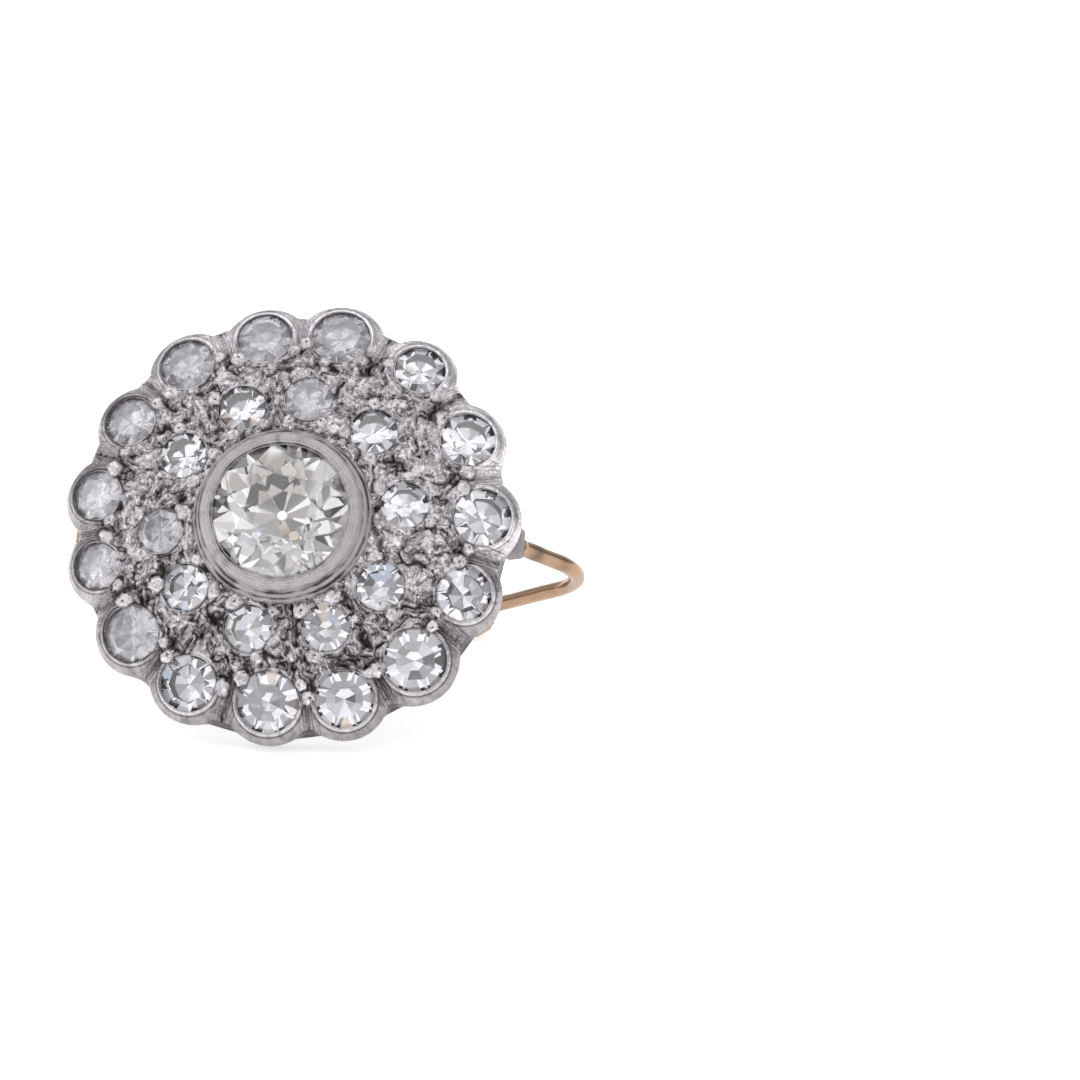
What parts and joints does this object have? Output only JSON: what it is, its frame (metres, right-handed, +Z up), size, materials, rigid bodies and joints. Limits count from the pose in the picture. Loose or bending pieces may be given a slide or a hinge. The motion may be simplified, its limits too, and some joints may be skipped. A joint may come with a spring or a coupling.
{
  "type": "lever-back earring",
  "caption": "Domed round cluster earring: large collet-set centre stone, two rings of small stones, scalloped edge, wire hook and a hinged lever that closes behind the lobe.",
  "frame": {"origin": "on the surface that the earring lies on, under the middle of its bounding box", "axes": "+Z up; +X to the worn-up end, where the hook is; the stones face -Y and upwards; the lever lies at the +Y side"},
  "size_m": [0.0192, 0.0152, 0.0147],
  "materials": {
    "white_metal": "satin platinum, bright on the worn edges and dark in the engraved ground",
    "gold": "polished rose-yellow gold",
    "diamond": "faceted, clear, the centre stone faintly warm"
  },
  "bodies": {
    "earring": {"head": "white_metal", "centre_stone": "diamond", "outer_stone_01": "diamond", "outer_stone_02": "diamond", "outer_stone_03": "diamond", "outer_stone_04": "diamond", "outer_stone_05": "diamond", "outer_stone_06": "diamond", "outer_stone_07": "diamond", "outer_stone_08": "diamond", "outer_stone_09": "diamond", "outer_stone_10": "diamond", "outer_stone_11": "diamond", "outer_stone_12": "diamond", "outer_stone_13": "diamond", "outer_stone_14": "diamond", "outer_stone_15": "diamond", "inner_stone_01": "diamond", "inner_stone_02": "diamond", "inner_stone_03": "diamond", "inner_stone_04": "diamond", "inner_stone_05": "diamond", "inner_stone_06": "diamond", "inner_stone_07": "diamond", "inner_stone_08": "diamond", "inner_stone_09": "diamond", "inner_stone_10": "diamond", "ear_hook": "gold", "hinge_knuckle": "gold"},
    "lever": {"lever": "gold", "hinge_pin": "gold"}
  },
  "joints": [
    {"name": "lever_hinge", "type": "hinge", "parent": "earring", "child": "lever", "pos_m": [-0.00887, -0.00043, 0.00609], "axis": [0, 0.5756, 0.8177], "range_deg": [0, 65]}
  ]
}
